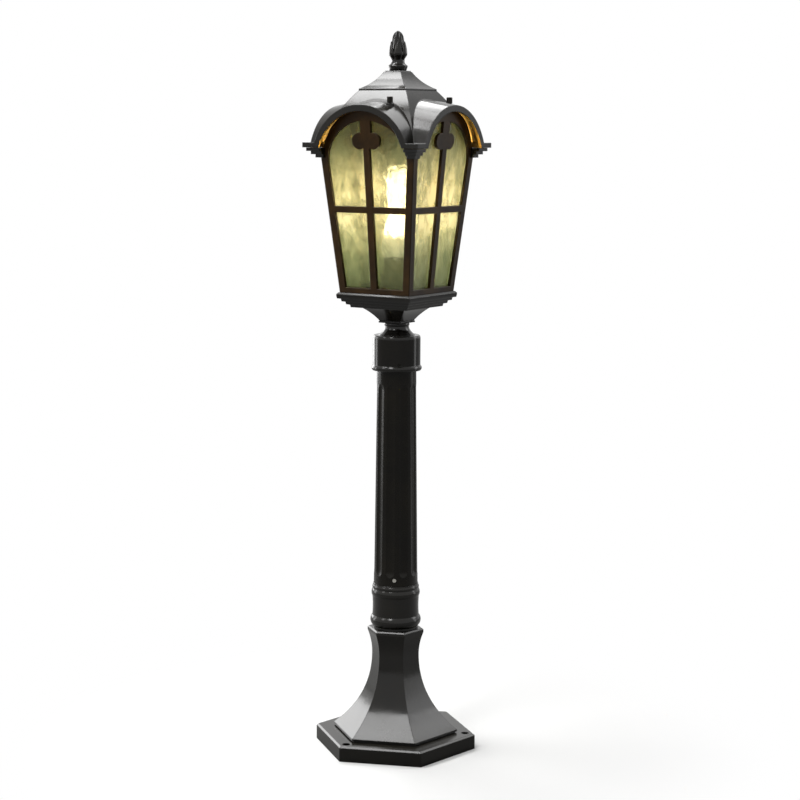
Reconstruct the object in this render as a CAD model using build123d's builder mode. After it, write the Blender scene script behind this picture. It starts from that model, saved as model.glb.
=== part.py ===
from build123d import *
from math import atan, cos, degrees, radians, sin, tan
import os

# Garden post lantern: a square glass lantern on a fluted pole with a hexagonal foot.
# Millimetres and degrees. The origin is on the ground under the pole, +Z is up,
# and the lantern's four sides face -Y (front), +X (right), +Y (back) and -X (left).

# Heights of the stacked pieces, from the ground up
plate_height = 24
step_height = 2
pedestal_height = 162
collar_height = 71
pole_length = 333
sleeve_height = 54
neck_height = 19
cup_height = 24
tray_height = 23
cage_height = 218
roof_height = 85
crown_height = 29.5
finial_height = 59.5

# Clearances
fit = 0.1  # between pieces that are fixed together
running = 0.3  # between pieces that move on each other

# Slotted screws: head radius and slot width as shares of the shank's radius,
# and the number of screws round a joint
screw_head = 1.8
screw_slot = 0.5
screw_count = 3

# Hexagonal base plate
base_turn = 21.6  # from +X to a corner of the hexagon
plate_corner = 127
plate_chamfer = 2.5
anchor_count = 3
anchor_hole = 6
anchor_inset = 15.5
pocket_inset = 30
pocket_depth = 16
cable_hole = 11
grommet_bore = 7
grommet_lip = 2.5

# Hollow hexagonal pedestal; its widths are half widths across the flats
foot_half = 85.5
foot_edge = 3
step_overhang = 3
waist_half = 32.2
waist_height = 121
flare_turn_height = 50
pedestal_lip_half = 38.6
pedestal_lip_edge = 4
pedestal_lip_chamfer = 2
pedestal_wall = 4
pedestal_web = 7
flange_height = 5
flange_bore = 52
foot_screw_inset = 19.5
foot_screw = 2.5
collar_screw = 2
collar_screw_ring = 28
collar_screw_depth = 10

# Turned ring collar
collar_bore = 23.5
collar_foot = 35
collar_foot_edge = 4
collar_bead = 39.3
collar_bead_height = 13
collar_body = 36.2
collar_body_low = 21
collar_hollow = 0.6
collar_body_high = 51
collar_ring = 37.6
collar_ring_high = 63
collar_lip = 36.2
collar_lip_high = 69
collar_spigot = 28

# Tapered pole with shallow flutes
pole_bottom = 34.1
pole_top = 30.2
pole_wall = 4
pole_spigot_step = 0.2
flute_count = 10
flute_radius = 20
flute_depth = 2
flute_low_band = 14
flute_high_band = 19.5
pole_screw = 1.6
pole_screw_height = 10
pole_screw_turn = -60

# Post-top sleeve and neck
sleeve_wall = 6.1
sleeve_web = 8
sleeve_bead = 2.1
sleeve_bead_height = 8
sleeve_shoulder = 6
sleeve_shoulder_in = 2.6
set_screw = 2
set_screw_socket = 1.2
set_screw_height = 10
set_screw_turn = -50
neck_foot = 28.5
neck_waist = 18.4
neck_waist_height = 14
neck_ring = 19.4
neck_ring_height = 16.5
neck_top = 18.6
nipple_radius = 6.5
nipple_bore = 4.6
nut_half = 11
nut_height = 6

# Cup and tray under the lantern; half widths of their square plans
cup_foot_half = 20
cup_foot_edge = 2.5
cup_throat_half = 18.8
cup_top_half = 39.5
cup_hollow = 1.5
tray_foot_half = 50.7
tray_steps = 3
tray_step = 5
tray_step_rise = 4.6
tray_step_edge = 0.8
tray_lip_edge = 5.5
tray_lip_bevel = 2.5
tray_floor = 6
tray_pocket_half = 44

# Lantern cage: four flat castings that lean outwards and meet in mitres
cage_foot_half = 62.6
cage_lean = 5.7
frame_thickness = 5
post_width = 11.5
bottom_rail = 8
arch_spring = 197
arch_rise = 61
head_clear = 4.2
cross_bar_height = 126
cross_bar = 9.5
upright_bar = 11
trefoil_height = 228
trefoil_lobe = 12.3
trefoil_spread = 12
trefoil_stem = 18
frame_foot = 12
frame_foot_margin = 5
frame_foot_height = 3
frame_foot_half = 40
frame_screw = 2
frame_screw_spread = 28
frame_screw_length = 12
lug_width = 10
lug_height = 4
lug_above_arch = 2.5
pane_thickness = 3
pane_overlap = 2.5
clip_width = 8
clip_height = 10
clip_thickness = 1.2
clip_foot = 5
clip_spread = 14

# Stepped brackets that carry the roof's corners
bracket_height = 15
bracket_steps = 3
bracket_grip = 8
bracket_first = 4.5
bracket_step = 5

# Roof with four arched hoods and square corner caps
roof_reach = 103
cap_size = 25
cap_height = 7.5
roof_foot_half = 84
roof_bulge = 5.6
roof_wall = 3
hood_top = 63.5
hood_radius = 87.5
hood_climb = 10
rim_band = 9.5
rim_depth = 4
roof_screw = 2
roof_screw_across = 33
roof_screw_out = 71
roof_screw_sides = [1, 1, 1, -1]  # which lug of the front, right, back and left frame is used
roof_boss = 6
roof_boss_height = 65.5
roof_knob = 4.5
roof_knob_height = 9.5
roof_knob_chamfer = 0.75
roof_screw_reach = 5

# Crown and finial
crown_half = 42.3
crown_lip_edge = 2.5
crown_lip_in = 2.5
crown_shoulder_half = 15.2
crown_collar_half = 14
crown_collar_height = 1.5
crown_hollow = 2.4
crown_wall = 3
stud = 3
stud_grip = 14
stud_nut_half = 5.5
stud_nut_height = 5
finial_foot = 12.8
finial_flare = 14.9
finial_flare_height = 7
finial_neck = 9.4
finial_neck_height = 15
finial_bud = 14.9
finial_bud_height = 25
finial_core_in = 3.4
leaf_count = 6
leaf_half = 6.6
lower_leaf_foot = 16
lower_leaf_tip = 42
upper_leaf_foot = 24
upper_leaf_tip = 55

# Lampholder, bulb and wiring
holder_radius = 23
holder_height = 52
holder_foot = 18
holder_foot_height = 10
holder_chamfer = 2
stand_radius = 15
bulb_cap = 13.2
bulb_cap_length = 26
bulb_contact = 5
bulb_contact_length = 2
bulb_neck = 15
bulb_body = 21.5
bulb_body_height = 33
bulb_shoulder = 12
bulb_edge = 3
tube_radius = 5
tube_ring = 11.5
tube_height = 103
tube_pairs = 3
tube_root = 4
lead_radius = 3.5
bridge_width = 20
bridge_thickness = 2
bridge_height = 22
bridge_half = 26
bridge_foot = 12
block_length = 32
block_width = 18
block_height = 14
block_screw = 2.5
block_ways = 3

# Levels worked out from the stack
z_foot = plate_height + step_height
z_collar = z_foot + pedestal_height
z_pole = z_collar + collar_height
z_sleeve = z_pole + pole_length
z_neck = z_sleeve + sleeve_height
z_cup = z_neck + neck_height
z_tray = z_cup + cup_height
z_cage = z_tray + tray_height
z_eaves = z_cage + cage_height
z_crown = z_eaves + roof_height
z_finial = z_crown + crown_height
z_top = z_finial + finial_height

square_sides = [0, 90]
hexagon_sides = [base_turn + 30, base_turn + 90, base_turn + 150]
side_names = ["front", "right", "back", "left"]

os.makedirs("parts", exist_ok=True)


def save(part, name):
    """Label a finished piece and write its STEP file."""
    part.label = name
    export_step(part, "parts/" + name + ".step")


def upright_plane(turn, out=0, level=0):
    """Upright plane facing outwards at an angle from +X, with its own y axis up."""
    facing = (cos(radians(turn)), sin(radians(turn)), 0)
    along = (-sin(radians(turn)), cos(radians(turn)), 0)
    origin = (out * facing[0], out * facing[1], level)
    return Plane(origin=origin, x_dir=along, z_dir=facing)


def crossed(draw_half, sides, low, high):
    """Solid with a square or hexagonal plan: one upright outline is run across the
    object at each side's angle, and what all the runs share is kept."""
    reach = 2 * plate_corner
    with BuildPart() as body:
        for number, turn in enumerate(sides):
            with BuildSketch(upright_plane(turn + 90)):
                with BuildLine():
                    draw_half()
                make_face()
                mirror(about=Plane.YZ)
            extrude(amount=reach, both=True, mode=Mode.INTERSECT if number else Mode.ADD)
        split(bisect_by=Plane.XY.offset(low), keep=Keep.TOP)
        split(bisect_by=Plane.XY.offset(high), keep=Keep.BOTTOM)
    return body.part


def screw(head_plane, shank, length):
    """Slotted screw whose head sits on the plane and whose shank goes in behind it."""
    head = screw_head * shank
    with BuildSketch(head_plane) as shank_round:
        Circle(shank)
    with BuildSketch(head_plane) as head_round:
        Circle(head)
    with BuildSketch(head_plane.offset(shank)) as slot:
        Rectangle(2 * head, screw_slot * shank)
    extrude(shank_round.sketch, amount=-length)
    extrude(head_round.sketch, amount=shank)
    extrude(slot.sketch, amount=-shank / 2, mode=Mode.SUBTRACT)


# Base plate: hexagonal casting, hollow underneath, with a raised step for the pedestal
anchor_ring = plate_corner - anchor_inset
step_half = foot_half - step_overhang
foot_screw_ring = foot_half - foot_screw_inset
screw_turns = [360 / screw_count * number for number in range(screw_count)]
foot_screw_turn = base_turn + 30
with BuildPart() as base_plate:
    with BuildSketch():
        RegularPolygon(plate_corner, 6, rotation=base_turn)
    extrude(amount=plate_height)
    chamfer(base_plate.faces().sort_by(Axis.Z)[-1].edges(), plate_chamfer)
    with BuildSketch(Plane.XY.offset(plate_height)):
        RegularPolygon(step_half, 6, major_radius=False, rotation=base_turn)
    extrude(amount=step_height)
    with BuildSketch():
        RegularPolygon(plate_corner - pocket_inset, 6, rotation=base_turn)
    extrude(amount=pocket_depth, mode=Mode.SUBTRACT)
    with BuildSketch():
        with PolarLocations(anchor_ring, anchor_count, start_angle=base_turn):
            Circle(anchor_hole)
        with PolarLocations(foot_screw_ring, screw_count, start_angle=foot_screw_turn):
            Circle(foot_screw + running)
        Circle(cable_hole)
    extrude(amount=z_foot, mode=Mode.SUBTRACT)
save(base_plate.part, "base_plate")

# Grommet in the cable hole, with a lip above and below the plate's web
grommet_outer = cable_hole - fit
with BuildPart() as cable_grommet:
    with BuildSketch(Plane.XY.offset(pocket_depth - grommet_lip)):
        Circle(cable_hole + grommet_lip)
    extrude(amount=grommet_lip)
    with BuildSketch(Plane.XY.offset(pocket_depth)):
        Circle(grommet_outer)
    extrude(amount=z_foot - pocket_depth)
    with BuildSketch(Plane.XY.offset(z_foot)):
        Circle(cable_hole + grommet_lip)
    extrude(amount=grommet_lip)
    with BuildSketch(Plane.XY.offset(pocket_depth - grommet_lip)):
        Circle(grommet_bore)
    extrude(amount=z_foot - pocket_depth + 2 * grommet_lip, mode=Mode.SUBTRACT)
save(cable_grommet.part, "cable_grommet")


# Pedestal: hollow hexagonal casting with a flared foot, a narrow waist and a lip
def draw_pedestal(inset):
    flare_foot = (foot_half - inset, z_foot + foot_edge)
    flare_turn = (waist_half - inset, z_foot + flare_turn_height)
    waist = (waist_half - inset, z_foot + waist_height)
    lip_low = (pedestal_lip_half - inset, z_collar - pedestal_lip_edge - pedestal_lip_chamfer)
    lip_turn = (waist_half - inset, (waist[1] + lip_low[1]) / 2)
    lip_high = (pedestal_lip_half - inset, z_collar - pedestal_lip_chamfer)
    top = (pedestal_lip_half - pedestal_lip_chamfer - inset, z_collar)
    Polyline((0, z_foot), (foot_half - inset, z_foot), flare_foot)
    Bezier(flare_foot, flare_turn, waist)
    Bezier(waist, lip_turn, lip_low)
    Polyline(lip_low, lip_high, top, (0, z_collar), (0, z_foot))


pedestal_hollow = crossed(
    lambda: draw_pedestal(pedestal_wall), hexagon_sides, z_foot + flange_height, z_collar - pedestal_web
)
pedestal_outside = crossed(lambda: draw_pedestal(0), hexagon_sides, z_foot, z_collar)
with BuildPart() as pedestal:
    add(pedestal_outside)
    add(pedestal_hollow, mode=Mode.SUBTRACT)
    with BuildSketch(Plane.XY.offset(z_foot)):
        Circle(flange_bore)
        with PolarLocations(foot_screw_ring, screw_count, start_angle=foot_screw_turn):
            Circle(foot_screw + fit)
    extrude(amount=flange_height, mode=Mode.SUBTRACT)
    with BuildSketch(Plane.XY.offset(z_collar - pedestal_web)):
        Circle(collar_bore)
        with PolarLocations(collar_screw_ring, screw_count, start_angle=foot_screw_turn):
            Circle(collar_screw + running)
    extrude(amount=pedestal_web, mode=Mode.SUBTRACT)
save(pedestal.part, "pedestal")

# Foot screws: up through the plate into the pedestal's flange
with BuildPart() as foot_screws:
    for turn in screw_turns:
        seat = Vector(foot_screw_ring, 0, pocket_depth).rotate(Axis.Z, foot_screw_turn + turn)
        length = z_foot - pocket_depth + flange_height
        screw(Plane(origin=seat, z_dir=(0, 0, -1)), foot_screw, length)
save(foot_screws.part, "foot_screws")

# Ring collar: turned ring with two beads and a spigot that goes up into the pole
collar_spigot_radius = pole_bottom - pole_wall - fit
with BuildPart() as ring_collar:
    with BuildSketch(Plane.XZ):
        with BuildLine():
            foot_corner = (collar_foot, z_collar + collar_foot_edge)
            body_low = (collar_body, z_collar + collar_body_low)
            body_high = (collar_body, z_collar + collar_body_high)
            ring_high = (collar_body - collar_hollow, z_collar + collar_ring_high)
            lip_high = (collar_body - 2 * collar_hollow, z_collar + collar_lip_high)
            ring_middle = z_collar + (collar_body_high + collar_ring_high) / 2
            lip_middle = z_collar + (collar_ring_high + collar_lip_high) / 2
            body_middle = z_collar + (collar_body_low + collar_body_high) / 2
            Polyline((collar_bore, z_collar), (collar_foot, z_collar), foot_corner)
            ThreePointArc(foot_corner, (collar_bead, z_collar + collar_bead_height), body_low)
            ThreePointArc(body_low, (collar_body - collar_hollow, body_middle), body_high)
            ThreePointArc(body_high, (collar_ring, ring_middle), ring_high)
            ThreePointArc(ring_high, (collar_lip, lip_middle), lip_high)
            Polyline(
                lip_high,
                (lip_high[0], z_pole),
                (collar_spigot_radius, z_pole),
                (collar_spigot_radius, z_pole + collar_spigot),
                (collar_bore, z_pole + collar_spigot),
                (collar_bore, z_collar),
            )
        make_face()
    revolve(axis=Axis.Z)
    with BuildSketch(Plane.XY.offset(z_collar)):
        with PolarLocations(collar_screw_ring, screw_count, start_angle=foot_screw_turn):
            Circle(collar_screw + fit)
    extrude(amount=collar_screw_depth + fit, mode=Mode.SUBTRACT)
    for turn in screw_turns:
        with BuildSketch(upright_plane(pole_screw_turn + turn, level=z_pole + pole_screw_height)):
            Circle(pole_screw + fit)
        extrude(amount=pole_bottom, mode=Mode.SUBTRACT)
save(ring_collar.part, "ring_collar")

# Collar screws: from inside the pedestal up into the ring collar
with BuildPart() as collar_screws:
    for turn in screw_turns:
        seat = Vector(collar_screw_ring, 0, z_collar - pedestal_web).rotate(Axis.Z, foot_screw_turn + turn)
        screw(Plane(origin=seat, z_dir=(0, 0, -1)), collar_screw, pedestal_web + collar_screw_depth)
save(collar_screws.part, "collar_screws")

# Pole: tapered tube with round-ended flutes and a straight spigot for the sleeve
pole_slope = (pole_bottom - pole_top) / pole_length
pole_lean = degrees(atan(pole_slope))
pole_spigot = pole_top - pole_spigot_step
spigot_top = z_neck - sleeve_web - running
flute_low = z_pole + flute_low_band
flute_high = z_sleeve - flute_high_band
flute_length = flute_high - flute_low
flute_out = (pole_bottom + pole_top) / 2 + flute_radius - flute_depth
flute_out = flute_out + pole_slope * ((z_pole + z_sleeve) / 2 - (flute_low + flute_high) / 2)
flute_end = (flute_radius**2 - (flute_radius - flute_depth) ** 2) ** 0.5
with BuildPart() as pole_tube:
    with BuildSketch(Plane.XZ):
        with BuildLine():
            Polyline(
                (pole_bottom - pole_wall, z_pole),
                (pole_bottom, z_pole),
                (pole_top, z_sleeve),
                (pole_spigot, z_sleeve),
                (pole_spigot, spigot_top),
                (pole_spigot - pole_wall, spigot_top),
                (pole_spigot - pole_wall, z_sleeve),
                (pole_bottom - pole_wall, z_pole + collar_spigot),
                (pole_bottom - pole_wall, z_pole),
            )
        make_face()
    revolve(axis=Axis.Z)
    with PolarLocations(0, flute_count):
        with Locations(Location((flute_out, 0, (flute_low + flute_high) / 2), (0, -pole_lean, 0))):
            Cylinder(flute_radius, flute_length - 2 * flute_end, mode=Mode.SUBTRACT)
            with Locations((0, 0, flute_length / 2 - flute_end), (0, 0, flute_end - flute_length / 2)):
                Sphere(flute_radius, mode=Mode.SUBTRACT)
    for turn in screw_turns:
        with BuildSketch(upright_plane(pole_screw_turn + turn, level=z_pole + pole_screw_height)):
            Circle(pole_screw + fit)
        extrude(amount=2 * pole_bottom, mode=Mode.SUBTRACT)
save(pole_tube.part, "pole_tube")

# Pole screws: three round-headed screws through the pole into the collar's spigot
pole_screw_out = pole_bottom - pole_slope * (pole_screw_height - screw_head * pole_screw)
with BuildPart() as pole_screws:
    for turn in screw_turns:
        seat = upright_plane(pole_screw_turn + turn, pole_screw_out, z_pole + pole_screw_height)
        screw(seat, pole_screw, pole_screw_out - collar_bore)
save(pole_screws.part, "pole_screws")

# Top sleeve: the lantern's fitter, which turns on the pole's spigot until it is clamped
sleeve_bore = pole_spigot + running
sleeve_radius = sleeve_bore + sleeve_wall
with BuildPart() as top_sleeve:
    with BuildSketch(Plane.XZ):
        with BuildLine():
            bead_low = (sleeve_radius + sleeve_bead / 3, z_sleeve)
            bead_out = (sleeve_radius + sleeve_bead, z_sleeve + sleeve_bead_height / 2)
            bead_high = (sleeve_radius, z_sleeve + sleeve_bead_height)
            shoulder = (sleeve_radius, z_neck - sleeve_shoulder)
            shoulder_turn = (sleeve_radius, z_neck)
            top = (sleeve_radius - sleeve_shoulder_in, z_neck)
            ceiling = z_neck - sleeve_web
            Line((sleeve_bore, z_sleeve), bead_low)
            ThreePointArc(bead_low, bead_out, bead_high)
            Line(bead_high, shoulder)
            Bezier(shoulder, shoulder_turn, top)
            Polyline(
                top,
                (nipple_radius + fit, z_neck),
                (nipple_radius + fit, ceiling),
                (sleeve_bore, ceiling),
                (sleeve_bore, z_sleeve),
            )
        make_face()
    revolve(axis=Axis.Z)
    for turn in screw_turns:
        with BuildSketch(upright_plane(set_screw_turn + turn, level=z_sleeve + set_screw_height)):
            Circle(set_screw + fit)
        extrude(amount=2 * sleeve_radius, mode=Mode.SUBTRACT)
save(top_sleeve.part, "top_sleeve")

# Set screws: three grub screws with a hexagon socket that clamp the sleeve
with BuildPart() as set_screws:
    for turn in screw_turns:
        tip = upright_plane(set_screw_turn + turn, sleeve_bore, z_sleeve + set_screw_height)
        with BuildSketch(tip):
            Circle(set_screw)
        extrude(amount=sleeve_wall + set_screw / 2)
        with BuildSketch(tip.offset(sleeve_wall + set_screw / 2)):
            RegularPolygon(set_screw_socket, 6)
        extrude(amount=-set_screw, mode=Mode.SUBTRACT)
save(set_screws.part, "set_screws")

# Neck: turned waist with a rounded ring, between sleeve and cup
with BuildPart() as neck:
    with BuildSketch(Plane.XZ):
        with BuildLine():
            waist = (neck_waist, z_neck + neck_waist_height)
            Line((nipple_radius + fit, z_neck), (neck_foot, z_neck))
            Bezier((neck_foot, z_neck), (neck_waist, z_neck + neck_waist_height / 2), waist)
            ThreePointArc(waist, (neck_ring, z_neck + neck_ring_height), (neck_top, z_cup))
            Polyline((neck_top, z_cup), (nipple_radius + fit, z_cup), (nipple_radius + fit, z_neck))
        make_face()
    revolve(axis=Axis.Z)
save(neck.part, "neck")


# Cup: square casting with hollow cheeks under the tray
def draw_cup():
    throat = (cup_throat_half, z_cup + cup_foot_edge)
    Polyline((0, z_cup), (cup_foot_half, z_cup), (cup_foot_half, z_cup + cup_foot_edge), throat)
    SagittaArc(throat, (cup_top_half, z_tray), cup_hollow)
    Polyline((cup_top_half, z_tray), (0, z_tray), (0, z_cup))


cup_outside = crossed(draw_cup, square_sides, z_cup, z_tray)
with BuildPart() as cup:
    add(cup_outside)
    with BuildSketch(Plane.XY.offset(z_cup)):
        Circle(nipple_radius + fit)
    extrude(amount=cup_height, mode=Mode.SUBTRACT)
save(cup.part, "cup")


# Tray: square stepped moulding with a pocket for the lampholder's fixing
def draw_tray():
    corners = [(0, z_tray), (tray_foot_half, z_tray)]
    for number in range(tray_steps):
        half = tray_foot_half + number * tray_step
        level = z_tray + (number + 1) * tray_step_rise
        corners = corners + [(half + tray_step_edge, level - tray_step_edge), (half + tray_step, level)]
    lip_half = tray_foot_half + tray_steps * tray_step + tray_step_edge
    lip = [(lip_half, z_cage - tray_lip_edge), (lip_half, z_cage - tray_lip_bevel)]
    Polyline(*corners, *lip, (lip_half - tray_lip_bevel, z_cage), (0, z_cage), (0, z_tray))


cage_slope = tan(radians(cage_lean))
frame_inner_half = cage_foot_half - frame_thickness / cos(radians(cage_lean))
foot_inner = frame_inner_half - frame_foot
frame_screw_out = foot_inner + frame_foot_margin
frame_screw_places = []
for turn in range(0, 360, 90):
    for across in (-frame_screw_spread, frame_screw_spread):
        spot = Vector(across, -frame_screw_out, z_cage).rotate(Axis.Z, turn)
        frame_screw_places.append(spot)
tray_outside = crossed(draw_tray, square_sides, z_tray, z_cage)
with BuildPart() as tray:
    add(tray_outside)
    with BuildSketch(Plane.XY.offset(z_tray + tray_floor)):
        Rectangle(2 * tray_pocket_half, 2 * tray_pocket_half)
    extrude(amount=tray_height - tray_floor, mode=Mode.SUBTRACT)
    with BuildSketch(Plane.XY.offset(z_tray)):
        Circle(nipple_radius + fit)
    extrude(amount=tray_floor, mode=Mode.SUBTRACT)
    with Locations(*frame_screw_places):
        Hole(frame_screw + fit, frame_screw_length - frame_foot_height + fit)
save(tray.part, "tray")

# Nipple: hollow threaded rod that clamps sleeve, neck, cup and tray, with a nut at each end
nipple_low = z_neck - sleeve_web - nut_height
nipple_high = z_cage + holder_foot_height - 2 * running
nut_levels = [nipple_low, z_tray + tray_floor]
with BuildPart() as nipple:
    with BuildSketch(Plane.XY.offset(nipple_low)):
        Circle(nipple_radius)
        Circle(nipple_bore, mode=Mode.SUBTRACT)
    extrude(amount=nipple_high - nipple_low)
save(nipple.part, "nipple")
with BuildPart() as nipple_nuts:
    for level in nut_levels:
        with BuildSketch(Plane.XY.offset(level)):
            RegularPolygon(nut_half, 6, major_radius=False)
            Circle(nipple_radius + fit, mode=Mode.SUBTRACT)
        extrude(amount=nut_height)
save(nipple_nuts.part, "nipple_nuts")


# Side frames: one flat casting a side, with posts, bars, an arched head and a trefoil.
# Heights in these outlines run up the leaning face from the tray.
def slant(height):
    return height / cos(radians(cage_lean))


def face_half(height):
    return cage_foot_half + height * cage_slope


def face_plane(depth):
    """The front frame's leaning plane, moved in from its outer face by a depth."""
    facing = (0, -cos(radians(cage_lean)), -sin(radians(cage_lean)))
    return Plane(origin=(0, -cage_foot_half, z_cage), x_dir=(1, 0, 0), z_dir=facing).offset(-depth)


def leaning_panel(low, high, margin, mode=Mode.ADD):
    """Trapezium between two heights, narrower than the face by a margin on each side."""
    low_half = face_half(low) - margin
    high_half = face_half(high) - margin
    low_corners = [(-low_half, slant(low)), (low_half, slant(low))]
    high_corners = [(high_half, slant(high)), (-high_half, slant(high))]
    Polygon(*low_corners, *high_corners, align=None, mode=mode)


def frame_head():
    """Round head of the frame, which follows the hood's soffit a little inside it."""
    middle = cage_height + hood_top - hood_radius
    out = face_half(middle + hood_radius)
    climbed = (roof_reach - out) * tan(radians(hood_climb))
    with Locations((0, slant(middle + climbed))):
        Circle(hood_radius - roof_wall - head_clear)


def arch_head(grow, mode=Mode.ADD):
    """Elliptical head of the glass opening, grown by an amount all round."""
    with Locations((0, slant(arch_spring))):
        Ellipse(face_half(arch_spring) - post_width + grow, slant(arch_rise) + grow, mode=mode)


def upright_bar_piece(width, low, high):
    """Upright strip of the frame between two heights."""
    with Locations((0, slant((low + high) / 2))):
        Rectangle(width, slant(high - low))


frame_top = cage_height - running - frame_thickness * sin(radians(cage_lean))
arch_top = arch_spring + arch_rise
bar_foot = bottom_rail / 2
bar_head = arch_top + upright_bar / 2
lug_top = z_cage + arch_top + lug_above_arch
lug_low = lug_top - lug_height
lug_outer = face_half(arch_top) - frame_thickness / 2
lug_inner = roof_screw_out - roof_screw - lug_height
foot_outer = cage_foot_half - frame_thickness / 2
with BuildPart() as front_frame:
    with BuildSketch(face_plane(0)):
        leaning_panel(-frame_thickness, frame_top, 0)
        frame_head()
        leaning_panel(bottom_rail, arch_spring, post_width, Mode.SUBTRACT)
        arch_head(0, Mode.SUBTRACT)
        with Locations((0, slant(cross_bar_height))):
            Rectangle(2 * face_half(cross_bar_height) - post_width, cross_bar)
        upright_bar_piece(upright_bar, bar_foot, bar_head)
        upright_bar_piece(trefoil_stem, trefoil_height, bar_head)
        with Locations((-trefoil_spread, slant(trefoil_height)), (trefoil_spread, slant(trefoil_height))):
            Circle(trefoil_lobe)
    extrude(amount=-frame_thickness)
    split(bisect_by=Plane.XY.offset(z_cage), keep=Keep.TOP)
    for side in (-1, 1):
        split(bisect_by=Plane(origin=(0, -fit, 0), z_dir=(side, 1, 0)), keep=Keep.BOTTOM)
    with BuildSketch(Plane.XY.offset(z_cage)):
        with Locations((0, -(foot_outer + foot_inner) / 2)):
            Rectangle(2 * frame_foot_half, foot_outer - foot_inner)
        with Locations((-frame_screw_spread, -frame_screw_out), (frame_screw_spread, -frame_screw_out)):
            Circle(frame_screw + fit, mode=Mode.SUBTRACT)
    extrude(amount=frame_foot_height)
    with BuildSketch(Plane.XY.offset(lug_low)):
        with Locations(*[(side * roof_screw_across, -(lug_outer + lug_inner) / 2) for side in (-1, 1)]):
            Rectangle(lug_width, lug_outer - lug_inner)
        with Locations(*[(side * roof_screw_across, -roof_screw_out) for side in (-1, 1)]):
            Circle(roof_screw + running, mode=Mode.SUBTRACT)
    extrude(amount=lug_height)

# Glass panes: flat rippled sheets that stand on the frames' feet, behind the openings
pane_depth = frame_thickness + fit
pane_margin = post_width - pane_overlap
with BuildPart() as front_pane:
    with BuildSketch(face_plane(pane_depth)):
        leaning_panel(-frame_thickness, arch_spring, pane_margin)
        arch_head(pane_overlap)
    extrude(amount=-pane_thickness)
    split(bisect_by=Plane.XY.offset(z_cage + frame_foot_height), keep=Keep.TOP)

for number, name in enumerate(side_names):
    save(front_frame.part.rotate(Axis.Z, 90 * number), "side_frame_" + name)
    save(front_pane.part.rotate(Axis.Z, 90 * number), "glass_pane_" + name)

# Glass clips: bent tabs on the frames' feet that hold the panes from behind
clip_depth = pane_depth + pane_thickness + fit
clip_outer = cage_foot_half + frame_foot_height * cage_slope - clip_depth / cos(radians(cage_lean))
with BuildPart() as front_clips:
    with BuildSketch(face_plane(clip_depth)):
        with Locations((-clip_spread, clip_height / 2), (clip_spread, clip_height / 2)):
            Rectangle(clip_width, clip_height)
    extrude(amount=-clip_thickness)
    split(bisect_by=Plane.XY.offset(z_cage + frame_foot_height), keep=Keep.TOP)
    with BuildSketch(Plane.XY.offset(z_cage + frame_foot_height)):
        clip_middle = clip_foot / 2 - clip_outer
        with Locations((-clip_spread, clip_middle), (clip_spread, clip_middle)):
            Rectangle(clip_width, clip_foot)
    extrude(amount=clip_thickness)
with BuildPart() as glass_clips:
    for turn in range(0, 360, 90):
        add(front_clips.part, rotation=(0, 0, turn))
save(glass_clips.part, "glass_clips")

# Frame screws: down through the frames' feet into the tray
with BuildPart() as frame_screws:
    for spot in frame_screw_places:
        seat = Plane.XY.offset(z_cage + frame_foot_height).move(Location((spot.X, spot.Y, 0)))
        screw(seat, frame_screw, frame_screw_length)
save(frame_screws.part, "frame_screws")


# Corner brackets: stepped corbels round the tops of the posts, under the roof's corners
def draw_cage_outside():
    top_half = face_half(cage_height)
    Polyline((0, z_cage), (cage_foot_half, z_cage), (top_half, z_eaves), (0, z_eaves), (0, z_cage))


bracket_rise = (bracket_height - running) / bracket_steps
bracket_back = face_half(cage_height - bracket_height) - bracket_grip
cage_outside = crossed(draw_cage_outside, square_sides, z_cage, z_eaves)
with BuildPart() as corner_brackets:
    for number in range(bracket_steps):
        reach = face_half(cage_height) + bracket_first + number * bracket_step
        middle = bracket_back + reach
        with BuildSketch(Plane.XY.offset(z_eaves - bracket_height + number * bracket_rise)):
            with GridLocations(middle, middle, 2, 2):
                Rectangle(reach - bracket_back, reach - bracket_back)
        extrude(amount=bracket_rise)
    add(cage_outside, mode=Mode.SUBTRACT)
save(corner_brackets.part, "corner_brackets")

# Stand and lampholder on the nipple, with a screw socket open at the top
stand_low = z_tray + tray_floor + nut_height
with BuildPart() as holder_stand:
    with BuildSketch(Plane.XY.offset(stand_low)):
        Circle(stand_radius)
        Circle(nipple_radius + fit, mode=Mode.SUBTRACT)
    extrude(amount=z_cage - stand_low)
save(holder_stand.part, "holder_stand")
holder_top = z_cage + holder_height
socket_depth = bulb_cap_length + bulb_contact_length
with BuildPart() as lampholder:
    with BuildSketch(Plane.XZ):
        with BuildLine():
            Polyline(
                (nipple_radius + fit, z_cage),
                (holder_foot, z_cage),
                (holder_radius, z_cage + holder_foot_height),
                (holder_radius, holder_top - holder_chamfer),
                (holder_radius - holder_chamfer, holder_top),
                (bulb_cap + running, holder_top),
                (bulb_cap + running, holder_top - socket_depth),
                (0, holder_top - socket_depth),
                (0, z_cage + holder_foot_height),
                (nipple_radius + fit, z_cage + holder_foot_height),
                (nipple_radius + fit, z_cage),
            )
        make_face()
    revolve(axis=Axis.Z)
save(lampholder.part, "lampholder")

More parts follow.
